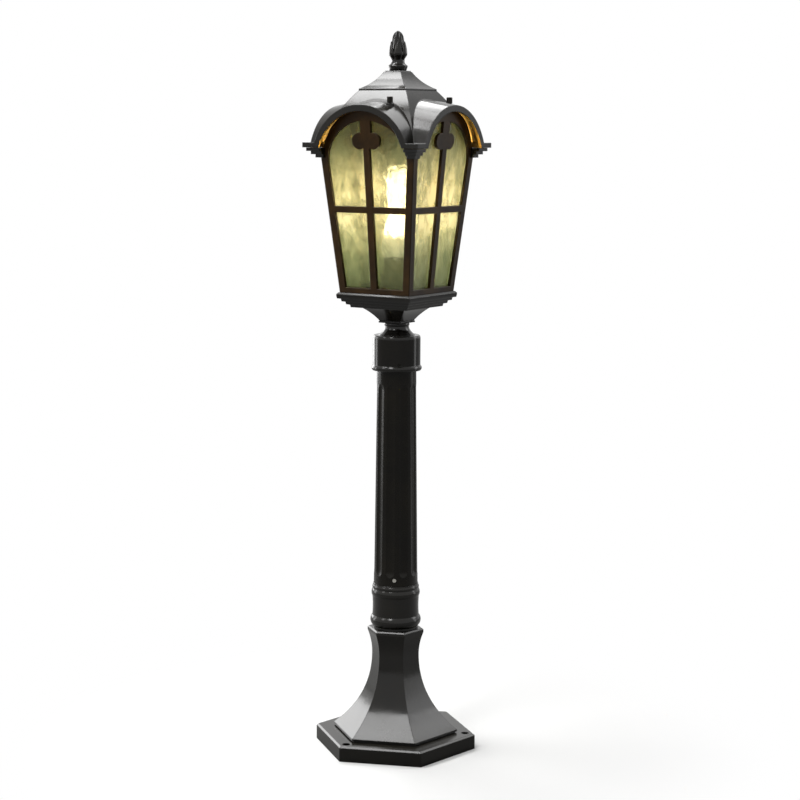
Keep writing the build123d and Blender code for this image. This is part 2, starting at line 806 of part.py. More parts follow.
# Bulb: screw cap, white housing and three bent glass tubes
bulb_low = holder_top + running
with BuildPart() as bulb_screw_cap:
    with BuildSketch(Plane.XY.offset(bulb_low - bulb_cap_length)):
        Circle(bulb_cap)
    extrude(amount=bulb_cap_length)
    with BuildSketch(Plane.XY.offset(bulb_low - bulb_cap_length)):
        Circle(bulb_contact)
    extrude(amount=-bulb_contact_length)
save(bulb_screw_cap.part, "bulb_screw_cap")
bulb_top = bulb_low + bulb_body_height
tube_places = []
for number in range(2 * tube_pairs):
    turn = radians(360 / (2 * tube_pairs) * number)
    tube_places.append(Vector(tube_ring * cos(turn), tube_ring * sin(turn), bulb_top))
with BuildPart() as bulb_housing:
    with BuildSketch(Plane.XZ):
        with BuildLine():
            shoulder = (bulb_body, bulb_low + bulb_shoulder)
            edge_low = (bulb_body, bulb_top - bulb_edge)
            edge_high = (bulb_body - bulb_edge, bulb_top)
            Line((0, bulb_low), (bulb_neck, bulb_low))
            Bezier((bulb_neck, bulb_low), (bulb_body, bulb_low + bulb_shoulder / 2), shoulder)
            Line(shoulder, edge_low)
            Bezier(edge_low, (bulb_body, bulb_top), edge_high)
            Polyline(edge_high, (0, bulb_top), (0, bulb_low))
        make_face()
    revolve(axis=Axis.Z)
    with Locations(*tube_places):
        Hole(tube_radius + fit, tube_root)
save(bulb_housing.part, "bulb_housing")
with BuildPart() as bulb_tubes:
    for number in range(tube_pairs):
        first = tube_places[2 * number]
        second = tube_places[2 * number + 1]
        bend = (second - first).length / 2
        rise = Vector(0, 0, tube_height - tube_radius - bend)
        root = Vector(0, 0, -tube_root)
        crown = (first + second) / 2 + rise + Vector(0, 0, bend)
        with BuildLine():
            Line(first + root, first + rise)
            ThreePointArc(first + rise, crown, second + rise)
            Line(second + rise, second + root)
        with BuildSketch(Plane(origin=first + root, z_dir=(0, 0, 1))):
            Circle(tube_radius)
        sweep()
save(bulb_tubes.part, "bulb_tubes")


# Roof: bell-shaped hip with an arched hood on each side and a square cap at each corner
def draw_roof(inset):
    foot = (roof_foot_half - inset, z_eaves)
    head = (crown_half - inset, z_crown)
    Line((0, z_eaves), foot)
    SagittaArc(foot, head, -roof_bulge)
    Polyline(head, (0, z_crown), (0, z_eaves))


def hood_outline(shrink, low):
    """Round arch above the eaves with legs down to a level; the sketch's y axis is the height."""
    middle = z_eaves + hood_top - hood_radius
    radius = hood_radius - shrink
    foot_half = (radius**2 - (z_eaves - middle) ** 2) ** 0.5
    with Locations((0, middle)):
        Circle(radius)
    with Locations((0, z_eaves)):
        Rectangle(4 * radius, 4 * radius, align=(Align.CENTER, Align.MAX), mode=Mode.SUBTRACT)
        if low < z_eaves:
            Rectangle(2 * foot_half, z_eaves - low, align=(Align.CENTER, Align.MAX))


def hood_tunnels(shrink, low):
    """The four hoods' arches, run in from their rims past the middle on a gentle climb."""
    climb = radians(hood_climb)
    run = roof_reach + roof_wall
    with BuildPart() as tunnels:
        for turn in range(-90, 270, 90):
            inwards = (-cos(radians(turn)), -sin(radians(turn)), tan(climb))
            with BuildSketch(upright_plane(turn, roof_reach)):
                hood_outline(shrink, low)
            extrude(amount=run / cos(climb), dir=inwards)
    return tunnels.part


roof_outside = crossed(lambda: draw_roof(0), square_sides, z_eaves, z_crown)
roof_inside = crossed(lambda: draw_roof(roof_wall), square_sides, z_eaves, z_crown - roof_wall)
hoods_outside = hood_tunnels(0, z_eaves)
hoods_inside = hood_tunnels(roof_wall, z_cage)
roof_screw_places = []
for number, side in enumerate(roof_screw_sides):
    spot = Vector(side * roof_screw_across, -roof_screw_out, z_eaves + roof_boss_height)
    roof_screw_places.append(spot.rotate(Axis.Z, 90 * number))
with BuildPart() as roof_shell:
    add(roof_outside)
    add(hoods_outside)
    with Locations(*roof_screw_places):
        Cylinder(roof_boss, roof_boss_height / 2, align=(Align.CENTER, Align.CENTER, Align.MAX))
    add(roof_inside, mode=Mode.SUBTRACT)
    add(hoods_inside, mode=Mode.SUBTRACT)
    for turn in range(0, 360, 90):
        with BuildSketch(upright_plane(turn, roof_reach)):
            hood_outline(0, z_eaves)
            with BuildSketch(mode=Mode.SUBTRACT):
                hood_outline(rim_band, z_eaves)
        extrude(amount=-rim_depth)
    cap_middle = 2 * roof_reach - cap_size
    with BuildSketch(Plane.XY.offset(z_eaves)):
        with GridLocations(cap_middle, cap_middle, 2, 2):
            Rectangle(cap_size, cap_size)
    extrude(amount=cap_height)
    with Locations(*roof_screw_places):
        Hole(roof_screw + running, roof_boss_height)
        Cylinder(
            roof_boss, roof_height, align=(Align.CENTER, Align.CENTER, Align.MIN), mode=Mode.SUBTRACT
        )
    with BuildSketch(Plane.XY.offset(z_crown - roof_wall)):
        Circle(stud + fit)
    extrude(amount=roof_wall, mode=Mode.SUBTRACT)
save(roof_shell.part, "roof_shell")

# Roof thumbscrews: round knobs on the bosses, with shanks that reach the frames' lugs
knob_low = z_eaves + roof_boss_height + running
for number, spot in enumerate(roof_screw_places):
    with BuildPart() as roof_thumbscrew:
        with BuildSketch(Plane(origin=(spot.X, spot.Y, knob_low))):
            Circle(roof_knob)
        extrude(amount=roof_knob_height)
        chamfer(roof_thumbscrew.edges(), roof_knob_chamfer)
        with BuildSketch(Plane(origin=(spot.X, spot.Y, knob_low))):
            Circle(roof_screw)
        extrude(amount=lug_low - roof_screw_reach - knob_low)
    save(roof_thumbscrew.part, "roof_screw_" + side_names[number])


# Crown: small hollow roof cap with a drip lip
def draw_crown(inset, top):
    shoulder_in = crown_half - crown_lip_in - inset
    brow = (shoulder_in, z_crown + crown_lip_edge + crown_lip_in / 2)
    shoulder = (crown_shoulder_half - inset, z_finial - crown_collar_height)
    lip_half = crown_half - inset
    Polyline((0, z_crown), (lip_half, z_crown), (lip_half, z_crown + crown_lip_edge), brow)
    SagittaArc(brow, shoulder, crown_hollow)
    collar_half = crown_collar_half - inset
    Polyline(shoulder, (collar_half, shoulder[1]), (collar_half, top), (0, top), (0, z_crown))


crown_outside = crossed(lambda: draw_crown(0, z_finial), square_sides, z_crown, z_finial)
crown_inside = crossed(
    lambda: draw_crown(crown_wall, z_finial), square_sides, z_crown, z_finial - 2 * crown_wall
)
with BuildPart() as roof_crown:
    add(crown_outside)
    add(crown_inside, mode=Mode.SUBTRACT)
    with BuildSketch(Plane.XY.offset(z_crown)):
        Circle(stud + fit)
    extrude(amount=crown_height, mode=Mode.SUBTRACT)
save(roof_crown.part, "roof_crown")


# Finial: cast bud with two rings of pointed leaves over a plain core
def finial_envelope(inset):
    """Turned outside of the finial; the bud above the neck is drawn in by an inset."""
    with BuildPart() as envelope:
        with BuildSketch(Plane.XZ):
            with BuildLine():
                neck_point = (finial_neck, z_finial + finial_neck_height)
                flare = (finial_flare, z_finial + finial_flare_height)
                bud = (finial_bud - inset, z_finial + finial_bud_height)
                Line((0, z_finial), (finial_foot, z_finial))
                Bezier((finial_foot, z_finial), (finial_flare, z_finial + finial_flare_height / 2), flare)
                Bezier(flare, (finial_neck, flare[1]), neck_point)
                bud_low = z_finial + (finial_neck_height + finial_bud_height) / 2
                Bezier(neck_point, (bud[0], bud_low), bud)
                Bezier(bud, (bud[0], (bud[1] + z_top) / 2), (0, z_top))
                Line((0, z_top), (0, z_finial))
            make_face()
        revolve(axis=Axis.Z)
    return envelope.part


def leaf_ring(first_turn, foot, tip):
    """Prisms of a pointed leaf outline, one for each leaf of a ring."""
    with BuildPart() as prisms:
        for number in range(leaf_count):
            turn = first_turn + 360 / leaf_count * number
            with BuildSketch(upright_plane(turn, finial_neck - finial_core_in)):
                with BuildLine():
                    low = (0, z_finial + foot)
                    high = (0, z_finial + tip)
                    belly = z_finial + foot + (tip - foot) / 3
                    ThreePointArc(low, (leaf_half, belly), high)
                    ThreePointArc(high, (-leaf_half, belly), low)
                make_face()
            extrude(amount=finial_bud)
    return prisms.part


finial_outside = finial_envelope(0)
finial_core = finial_envelope(finial_core_in)
lower_leaves = leaf_ring(0, lower_leaf_foot, lower_leaf_tip)
upper_leaves = leaf_ring(180 / leaf_count, upper_leaf_foot, upper_leaf_tip)
with BuildPart() as finial:
    add(lower_leaves)
    add(upper_leaves)
    add(finial_outside, mode=Mode.INTERSECT)
    add(finial_core)
    with BuildSketch(Plane.XY.offset(z_finial)):
        Circle(stud + fit)
    extrude(amount=stud_grip + fit, mode=Mode.SUBTRACT)
save(finial.part, "finial")

# Stud and nut that draw finial, crown and roof together
stud_low = z_crown - roof_wall - stud_nut_height - stud
with BuildPart() as finial_stud:
    with BuildSketch(Plane.XY.offset(stud_low)):
        Circle(stud)
    extrude(amount=z_finial + stud_grip - stud_low)
save(finial_stud.part, "finial_stud")
with BuildPart() as finial_nut:
    with BuildSketch(Plane.XY.offset(z_crown - roof_wall - stud_nut_height)):
        RegularPolygon(stud_nut_half, 6, major_radius=False)
        Circle(stud + fit, mode=Mode.SUBTRACT)
    extrude(amount=stud_nut_height)
save(finial_nut.part, "finial_nut")

# Bridge, terminal block and lead: the supply joins the block inside the pedestal,
# and the lead runs up the middle of the pole and through the nipple to the lampholder
bridge_top = z_foot + bridge_height
with BuildPart() as terminal_bridge:
    with BuildSketch(Plane.XZ):
        with BuildLine():
            Polyline(
                (bridge_half + bridge_foot, z_foot),
                (bridge_half, z_foot),
                (bridge_half, bridge_top - bridge_thickness),
                (0, bridge_top - bridge_thickness),
                (0, bridge_top),
                (bridge_half + bridge_thickness, bridge_top),
                (bridge_half + bridge_thickness, z_foot + bridge_thickness),
                (bridge_half + bridge_foot, z_foot + bridge_thickness),
                (bridge_half + bridge_foot, z_foot),
            )
        make_face()
        mirror(about=Plane.YZ)
    extrude(amount=bridge_width / 2, both=True)
save(terminal_bridge.part, "terminal_bridge")
with BuildPart() as terminal_block:
    with BuildSketch(Plane.XY.offset(bridge_top)):
        Rectangle(block_length, block_width)
    extrude(amount=block_height)
    with BuildSketch(Plane.XY.offset(bridge_top + block_height)):
        with GridLocations(block_length / block_ways, block_width / 2, block_ways, 2):
            Circle(block_screw)
    extrude(amount=-block_screw, mode=Mode.SUBTRACT)
save(terminal_block.part, "terminal_block")
with BuildPart() as lamp_lead:
    with BuildSketch(Plane.XY.offset(bridge_top + block_height)):
        Circle(lead_radius)
    extrude(amount=z_cage + holder_foot_height - running - bridge_top - block_height)
save(lamp_lead.part, "lamp_lead")
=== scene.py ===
import math

import bmesh
import bpy
from mathutils import Matrix, Vector


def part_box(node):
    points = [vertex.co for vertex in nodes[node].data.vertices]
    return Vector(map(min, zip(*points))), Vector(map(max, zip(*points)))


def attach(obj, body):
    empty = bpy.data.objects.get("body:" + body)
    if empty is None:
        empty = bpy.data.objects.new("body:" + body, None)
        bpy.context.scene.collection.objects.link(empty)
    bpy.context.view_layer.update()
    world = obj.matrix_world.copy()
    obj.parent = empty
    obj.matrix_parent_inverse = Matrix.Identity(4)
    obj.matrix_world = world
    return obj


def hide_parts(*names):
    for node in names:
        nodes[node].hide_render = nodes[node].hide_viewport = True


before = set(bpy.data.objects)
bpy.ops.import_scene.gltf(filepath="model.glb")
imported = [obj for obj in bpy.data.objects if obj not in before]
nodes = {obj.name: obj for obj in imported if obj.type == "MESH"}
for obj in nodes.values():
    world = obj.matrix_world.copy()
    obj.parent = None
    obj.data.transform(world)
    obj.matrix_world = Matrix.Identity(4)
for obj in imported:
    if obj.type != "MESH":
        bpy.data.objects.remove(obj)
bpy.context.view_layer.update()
scene = bpy.context.scene
scene.view_settings.view_transform = "Standard"

# Camera: a long lens three metres off, at the height of the lantern's roof and tipped down a
# little, so that two sides of the lantern and three of the foot are in sight.
picture_pixels = 800
sensor_mm = 36
focal_pixels = 2020
camera_azimuth = 33.5
camera_distance = 3.075
camera_height = 0.969
camera_pitch = 7.85
camera_yaw = 0.1
camera_roll = 0.27

camera = bpy.data.objects.new("camera", bpy.data.cameras.new("camera"))
scene.collection.objects.link(camera)
scene.camera = camera
camera.data.sensor_width = sensor_mm
camera.data.lens = focal_pixels / picture_pixels * sensor_mm
heading = math.radians(camera_azimuth)
camera.location = (
    camera_distance * math.sin(heading),
    -camera_distance * math.cos(heading),
    camera_height,
)
turn = Matrix.Rotation(heading - math.radians(camera_yaw), 4, "Z")
tilt = Matrix.Rotation(math.radians(90 - camera_pitch), 4, "X")
lean = Matrix.Rotation(math.radians(camera_roll), 4, "Z")
camera.rotation_euler = (turn @ tilt @ lean).to_euler()


# White room: the plain white surroundings that the camera sees, and that the gloss paint and
# the glass show. To all other rays it is a low even fill, and the softboxes do the lighting.
def colour(code):
    """An sRGB hex code as the linear colour that a shader reads."""
    channels = [int(code[place : place + 2], 16) / 255 for place in (1, 3, 5)]
    linear = [c / 12.92 if c <= 0.04045 else ((c + 0.055) / 1.055) ** 2.4 for c in channels]
    return (*linear, 1)


def add(owner, kind, values=None, links=None, stops=None, **settings):
    """Adds one node: settings are its own options, values its constants, links its inputs
    from other nodes' outputs, and stops the places and colours of a ramp."""
    made = owner.node_tree.nodes.new(kind)
    for name, value in settings.items():
        setattr(made, name, value)
    for name, value in (values or {}).items():
        made.inputs[name].default_value = value
    for name, (source, output) in (links or {}).items():
        owner.node_tree.links.new(source.outputs[output], made.inputs[name])
    for number, (place, code) in enumerate(stops or []):
        elements = made.color_ramp.elements
        stop = elements[number] if number < len(elements) else elements.new(place)
        stop.position = place
        stop.color = colour(code)
    return made


room_fill = 0.1
room_white = 1.0
pure_white = colour("#ffffff")
world = bpy.data.worlds.new("white_room")
world.use_nodes = True
world.node_tree.nodes.clear()
scene.world = world
path = add(world, "ShaderNodeLightPath")
mirrored = add(
    world,
    "ShaderNodeMath",
    links={0: (path, "Is Camera Ray"), 1: (path, "Is Glossy Ray")},
    operation="MAXIMUM",
)
seen = add(
    world,
    "ShaderNodeMath",
    links={0: (mirrored, 0), 1: (path, "Is Transmission Ray")},
    operation="MAXIMUM",
)
level = add(
    world,
    "ShaderNodeMapRange",
    {"To Min": room_fill, "To Max": room_white},
    {"Value": (seen, 0)},
)
background = add(world, "ShaderNodeBackground", {"Color": pure_white}, {"Strength": (level, 0)})
add(world, "ShaderNodeOutputWorld", links={"Surface": (background, 0)})


# Floor: matt white paint, lit like the lamp round its foot, where it takes the shadow. It
# passes over into the white of the room a stride farther out. Only in direct sight is it that
# white: the light it throws back, and its image in the paint, are those of a grey floor.
def new_material(name):
    """A material without any node."""
    material = bpy.data.materials.new(name)
    material.use_nodes = True
    material.node_tree.nodes.clear()
    return material


def show(material, shader):
    """Links a shader to the material's surface."""
    add(material, "ShaderNodeOutputMaterial", links={"Surface": (shader, 0)})
    return material


floor_half = 40
floor_white = "#ececeb"
floor_grey = "#8a8a88"
floor_mirror = 0.3
shadow_reach = 0.15
white_reach = 0.6
floor_paint = new_material("matt_white_floor_paint")
floor_place = add(floor_paint, "ShaderNodeTexCoord")
floor_way = add(
    floor_paint, "ShaderNodeVectorMath", links={0: (floor_place, "Object")}, operation="LENGTH"
)
floor_far = add(
    floor_paint,
    "ShaderNodeMapRange",
    {"From Min": shadow_reach, "From Max": white_reach},
    {"Value": (floor_way, "Value")},
    interpolation_type="SMOOTHSTEP",
)
floor_path = add(floor_paint, "ShaderNodeLightPath")
floor_mirrored = add(
    floor_paint,
    "ShaderNodeMath",
    {1: floor_mirror},
    {0: (floor_path, "Is Glossy Ray")},
    operation="MULTIPLY",
)
floor_direct = add(
    floor_paint,
    "ShaderNodeMath",
    links={0: (floor_path, "Is Camera Ray"), 1: (floor_path, "Is Transmission Ray")},
    operation="MAXIMUM",
)
floor_seen = add(
    floor_paint,
    "ShaderNodeMath",
    links={0: (floor_direct, 0), 1: (floor_mirrored, 0)},
    operation="MAXIMUM",
)
floor_share = add(
    floor_paint,
    "ShaderNodeMath",
    links={0: (floor_far, 0), 1: (floor_seen, 0)},
    operation="MULTIPLY",
)
floor_tone = add(
    floor_paint,
    "ShaderNodeMix",
    {6: colour(floor_grey), 7: colour(floor_white)},
    {0: (floor_direct, 0)},
    data_type="RGBA",
)
floor_matt = add(floor_paint, "ShaderNodeBsdfDiffuse", links={"Color": (floor_tone, 2)})
floor_bright = add(
    floor_paint, "ShaderNodeEmission", {"Color": pure_white, "Strength": room_white}
)
floor_surface = add(
    floor_paint,
    "ShaderNodeMixShader",
    links={0: (floor_share, 0), 1: (floor_matt, 0), 2: (floor_bright, 0)},
)
show(floor_paint, floor_surface)
sheet = bmesh.new()
bmesh.ops.create_grid(sheet, x_segments=2, y_segments=2, size=floor_half)
floor_mesh = bpy.data.meshes.new("floor")
sheet.to_mesh(floor_mesh)
sheet.free()
floor_mesh.materials.append(floor_paint)
floor = bpy.data.objects.new("floor", floor_mesh)
scene.collection.objects.link(floor)


# Softboxes: four in a row pass over the lantern's left from front to back, and one is behind
# its hoods. Two tall ones stand beside the pole, and three light the foot. The gloss paint
# mirrors them all.
def softbox(name, radiance, size, distance, way, aim, along):
    """A soft light of a given radiance, width and length, that faces a point from a
    direction, with its length turned along another direction."""
    light = bpy.data.lights.new(name, "AREA")
    light.shape = "RECTANGLE"
    light.size, light.size_y = size
    light.energy = radiance * math.pi * size[0] * size[1]
    lamp = bpy.data.objects.new(name, light)
    scene.collection.objects.link(lamp)
    facing = Vector(way).normalized()
    length = Vector(along)
    length = (length - facing * length.dot(facing)).normalized()
    turned = Matrix((length.cross(facing), length, facing)).transposed()
    lamp.location = Vector(aim) + facing * distance
    lamp.rotation_euler = turned.to_euler()


upright = (0, 0, 1)
roof_aim = (0, 0, 1.0)
pole_aim = (0, 0, 0.55)
foot_aim = (0, 0, 0.06)
softbox("front_softbox", 5.0, (0.5, 1.4), 2.5, (-0.55, -0.66, 0.51), roof_aim, (0, 0.51, 0.66))
softbox("hip_softbox", 18.0, (0.72, 0.8), 2.5, (-0.49, -0.24, 0.84), roof_aim, (0, 0.84, 0.24))
softbox("overhead_softbox", 9.0, (0.85, 1.0), 2.5, (-0.45, 0.12, 0.89), roof_aim, (0, 0.89, -0.12))
softbox("rear_softbox", 9.0, (0.55, 1.2), 2.5, (-0.46, 0.52, 0.72), roof_aim, (0, 0.72, -0.52))
softbox("hood_softbox", 3.2, (1.5, 0.6), 2.5, (0.08, 0.72, 0.69), roof_aim, upright)
softbox("left_strip_box", 3.6, (0.6, 1.5), 2.6, (-0.98, -0.14, 0.08), pole_aim, upright)
softbox("right_strip_box", 2.0, (0.5, 1.5), 2.6, (0.72, 0.69, 0.08), pole_aim, upright)
softbox("foot_softbox", 11.5, (0.5, 1.5), 2.7, (-0.03, -0.49, 0.87), foot_aim, (-0.19, 0.47, 0.25))
softbox("foot_left_box", 4.4, (1.2, 1.2), 2.4, (-0.87, 0.37, 0.33), foot_aim, upright)
softbox("foot_right_box", 3.6, (0.7, 0.8), 2.6, (0.48, 0.67, 0.57), foot_aim, upright)

# Base plate, pedestal and ring collar: die-cast aluminium, sprayed gloss black. The paint lies
# thick and shiny, rounds off the edges and has a faint orange peel, with some dust on ledges.
mm = 0.001
thick_coat = 1.6 * mm
gloss_coat = {"deep": "#0e0c08", "worn": "#17140d", "gloss": 0.15, "sheen": 0.34}


def sprayed_skin(paint, deep, worn, dust_share, gloss, sheen, edge_radius=thick_coat):
    """Black spray paint as a shader: two near blacks, the share of dust, the roughness, the
    reflection, and how far the paint rounds off the edges."""
    dust_grey = "#8d8c86"
    dust_slope = 0.35
    smoother = 0.05
    rougher = 0.08
    cloud_mm = 45
    place = add(paint, "ShaderNodeTexCoord")
    cloud = add(
        paint,
        "ShaderNodeTexNoise",
        {"Scale": 1 / (cloud_mm * mm), "Detail": 4.0, "Roughness": 0.6},
        {"Vector": (place, "Object")},
    )
    tone = add(
        paint,
        "ShaderNodeValToRGB",
        links={"Fac": (cloud, "Fac")},
        stops=[(0.35, deep), (0.7, worn)],
    )
    facing = add(paint, "ShaderNodeNewGeometry")
    up = add(paint, "ShaderNodeSeparateXYZ", links={0: (facing, "Normal")})
    ledge = add(
        paint,
        "ShaderNodeMapRange",
        {"From Min": dust_slope, "From Max": 1.0, "To Max": dust_share},
        {"Value": (up, "Z")},
    )
    dusting = add(
        paint, "ShaderNodeMath", links={0: (ledge, 0), 1: (cloud, "Fac")}, operation="MULTIPLY"
    )
    dusty = add(
        paint,
        "ShaderNodeMix",
        {7: colour(dust_grey)},
        {0: (dusting, 0), 6: (tone, "Color")},
        data_type="RGBA",
    )
    shine = add(
        paint,
        "ShaderNodeMapRange",
        {"To Min": gloss - smoother, "To Max": gloss + rougher},
        {"Value": (cloud, "Fac")},
    )
    # Orange peel is about 2 mm across; it is drawn at 3 mm so that it shows.
    peel_mm = 3
    peel_depth = 0.2 * mm
    peel = add(
        paint,
        "ShaderNodeTexNoise",
        {"Scale": 1 / (peel_mm * mm), "Detail": 1.0},
        {"Vector": (place, "Object")},
    )
    edge = add(paint, "ShaderNodeBevel", {"Radius": edge_radius}, samples=4)
    bump = add(
        paint,
        "ShaderNodeBump",
        {"Strength": 0.12, "Distance": peel_depth},
        {"Height": (peel, "Fac"), "Normal": (edge, "Normal")},
    )
    return add(
        paint,
        "ShaderNodeBsdfPrincipled",
        {"Specular IOR Level": sheen},
        {"Base Color": (dusty, 2), "Roughness": (shine, 0), "Normal": (bump, 0)},
    )


def sprayed_black(name, **coat):
    """A material that is this paint all over."""
    paint = new_material(name)
    return show(paint, sprayed_skin(paint, **coat))


def dress(material, *names):
    """Gives CAD nodes a finish."""
    for name in names:
        mesh = nodes[name].data
        mesh.materials.clear()
        mesh.materials.append(material)


casting_black = sprayed_black("gloss_black_paint_on_die_cast", dust_share=0.06, **gloss_coat)
dress(casting_black, "base_plate", "pedestal", "ring_collar")


# Screws of the foot, the collar and the pole, and the bridge for the terminal block: steel,
# zinc plated, which gives a pale grey metal with a blurred shine and a fine spangle.
def clouded(name, cloud_mm, detail, stops, values, coloured=("Base Color",)):
    """A finish whose colour wanders between two tones in clouds of a given size. The sockets
    named in coloured take the colour, and values are the constants of the others."""
    finish = new_material(name)
    place = add(finish, "ShaderNodeTexCoord")
    cloud = add(
        finish,
        "ShaderNodeTexNoise",
        {"Scale": 1 / (cloud_mm * mm), "Detail": detail},
        {"Vector": (place, "Object")},
    )
    tone = add(finish, "ShaderNodeValToRGB", links={"Fac": (cloud, "Fac")}, stops=stops)
    tint = {socket: (tone, "Color") for socket in coloured}
    return show(finish, add(finish, "ShaderNodeBsdfPrincipled", values, tint))


zinc = clouded(
    "zinc_plated_steel",
    cloud_mm=1.5,
    detail=2.0,
    stops=[(0.3, "#9c9a92"), (0.7, "#d3d2cb")],
    values={"Metallic": 1.0, "Roughness": 0.32},
)
dress(zinc, "foot_screws", "collar_screws", "pole_screws", "terminal_bridge")

# Cable grommet and lead: black rubber, matt and slightly bloomed. The grommet is pressed into
# the base plate, and the lead runs up inside the post from the terminal block to the holder.
rubber = clouded(
    "moulded_black_rubber",
    cloud_mm=5.5,
    detail=3.0,
    stops=[(0.3, "#141414"), (0.75, "#2a2a29")],
    values={"Roughness": 0.75},
)
dress(rubber, "cable_grommet", "lamp_lead")

# Terminal block: moulded from ivory nylon, with the fine grain of its mould, and fixed to the
# bridge inside the pedestal.
nylon = clouded(
    "moulded_ivory_nylon",
    cloud_mm=2.5,
    detail=2.0,
    stops=[(0.3, "#d2ccb8"), (0.7, "#e2dccb")],
    values={"Roughness": 0.45},
)
dress(nylon, "terminal_block")

# Pole: drawn aluminium tube with pressed flutes, painted with much the same black, a little
# more satin than the castings. It goes over the collar's spigot and is screwed there.
pole_black = sprayed_black(
    "satin_black_paint_on_tube",
    deep="#0d0b07",
    worn="#16130b",
    dust_share=0.05,
    gloss=0.26,
    sheen=0.2,
)
dress(pole_black, "pole_tube")

# Sleeve, neck, cup and tray: the castings that carry the lantern, with the castings' paint.
# One hollow nipple with a nut at each end, zinc plated, clamps them together.
dress(casting_black, "top_sleeve", "neck", "cup", "tray")
dress(zinc, "nipple", "nipple_nuts")

# Small steel parts of the lantern: the sleeve's set screws, the holder's stand, the frames'
# screws and the clips that hold the glass. They are blackened, a dark metal with a dull shine.
blackened = clouded(
    "blackened_steel",
    cloud_mm=3.3,
    detail=3.0,
    stops=[(0.3, "#1a1918"), (0.7, "#34322f")],
    values={"Metallic": 1.0, "Roughness": 0.4},
)
dress(blackened, "set_screws", "holder_stand", "frame_screws", "glass_clips")

# Lampholder: moulded from dark phenolic resin, with a soft shine and faint clouds. It stands
# over the nipple's end on the steel stand.
phenolic = clouded(
    "dark_phenolic_moulding",
    cloud_mm=11,
    detail=4.0,
    stops=[(0.3, "#2a2722"), (0.7, "#3b372f")],
    values={"Roughness": 0.35},
)
dress(phenolic, "lampholder")

# Bulb: a rolled brass screw cap, a thin white moulded housing with a painted glow that stands in
# for the tubes' light on it, and bent glass tubes, coated with phosphor inside and lit, dimmer at
# the foot.
brass_thread_mm = 3.6
wave_radians = 20
brass = new_material("rolled_brass")
brass_place = add(brass, "ShaderNodeTexCoord")
# The wave texture runs through 20 radians in each unit of its scale.
brass_thread = add(
    brass,
    "ShaderNodeTexWave",
    {"Scale": math.tau / wave_radians / (brass_thread_mm * mm), "Distortion": 0.0},
    {"Vector": (brass_place, "Object")},
    bands_direction="Z",
)
brass_bump = add(
    brass, "ShaderNodeBump", {"Strength": 0.6, "Distance": 1 * mm}, {"Height": (brass_thread, "Fac")}
)
# The brass's colour is darker in the thread's grooves and lighter on its crests.
brass_tone = add(
    brass,
    "ShaderNodeValToRGB",
    links={"Fac": (brass_thread, "Fac")},
    stops=[(0.0, "#9c8046"), (0.8, "#c9ab64")],
)
brass_skin = add(
    brass,
    "ShaderNodeBsdfPrincipled",
    {"Metallic": 1.0, "Roughness": 0.3},
    {"Base Color": (brass_tone, "Color"), "Normal": (brass_bump, 0)},
)
show(brass, brass_skin)
dress(brass, "bulb_screw_cap")
# The housing's glow is painted light: an emission in place of the tubes' light falling on it.
painted_housing_glow = 0.7
housing_white = clouded(
    "white_moulded_housing",
    cloud_mm=17,
    detail=2.0,
    stops=[(0.3, "#e6e2d5"), (0.7, "#f3f0e6")],
    values={"Roughness": 0.4, "Emission Strength": painted_housing_glow},
    coloured=("Base Color", "Emission Color"),
)
dress(housing_white, "bulb_housing")
tube_strength = 7.0
tube_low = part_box("bulb_tubes")[0].z
tube_dim_end = tube_low + 15 * mm
lit_phosphor = new_material("lit_phosphor_glass")
tube_place = add(lit_phosphor, "ShaderNodeTexCoord")
tube_level = add(lit_phosphor, "ShaderNodeSeparateXYZ", links={0: (tube_place, "Object")})
tube_length = add(
    lit_phosphor,
    "ShaderNodeMapRange",
    {"From Min": tube_low, "From Max": tube_dim_end},
    {"Value": (tube_level, "Z")},
)
tube_tone = add(
    lit_phosphor,
    "ShaderNodeValToRGB",
    links={"Fac": (tube_length, 0)},
    stops=[(0.0, "#f0c98c"), (0.6, "#ffeecb"), (1.0, "#fff0cf")],
)
tube_skin = add(
    lit_phosphor,
    "ShaderNodeBsdfPrincipled",
    {"Roughness": 0.2, "Emission Strength": tube_strength},
    {"Base Color": (tube_tone, "Color"), "Emission Color": (tube_tone, "Color")},
)
show(lit_phosphor, tube_skin)
dress(lit_phosphor, "bulb_tubes")

# Side frames: flat castings with posts, bars and trefoils, screwed to the tray. Their black
# has gone slightly brown from the warmth of the bulb.
sides = ("front", "right", "back", "left")
frame_black = sprayed_black(
    "gloss_black_paint_on_frames",
    deep="#2a1c0a",
    worn="#432e11",
    dust_share=0.06,
    gloss=0.3,
    sheen=0.22,
)
for side in sides:
    dress(frame_black, "side_frame_" + side)

# Glass panes: rolled water glass, clear straw to olive, with ripples a finger wide that are
# rolled into it. It lets the white room through in bent patches and glows round the lit bulb,
# partly by real translucency and partly by painted light: its tone is painted brighter at the
# bulb's height and darker towards its top and foot.
ripple_mm = 11
ripple_depth = 0.9 * mm
ripple_bump = 1.6 * mm
streak_mm = 70
drawn_out = (1.0, 1.0, 0.6)
glow_share = 0.28
glass_low, glass_high = (corner.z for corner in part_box("glass_pane_front"))
water_glass = new_material("rolled_water_glass")
glass_place = add(water_glass, "ShaderNodeTexCoord")
stretched = add(
    water_glass, "ShaderNodeMapping", {"Scale": drawn_out}, {"Vector": (glass_place, "Object")}
)
ripple = add(
    water_glass,
    "ShaderNodeTexNoise",
    {"Scale": 1 / (ripple_mm * mm), "Detail": 2.5, "Roughness": 0.55, "Distortion": 0.6},
    {"Vector": (stretched, 0)},
)
streak = add(
    water_glass,
    "ShaderNodeTexNoise",
    {"Scale": 1 / (streak_mm * mm), "Detail": 3.0, "Distortion": 0.8},
    {"Vector": (stretched, 0)},
)
glass_level = add(water_glass, "ShaderNodeSeparateXYZ", links={0: (glass_place, "Object")})
glass_height = add(
    water_glass,
    "ShaderNodeMapRange",
    {"From Min": glass_low, "From Max": glass_high},
    {"Value": (glass_level, "Z")},
)
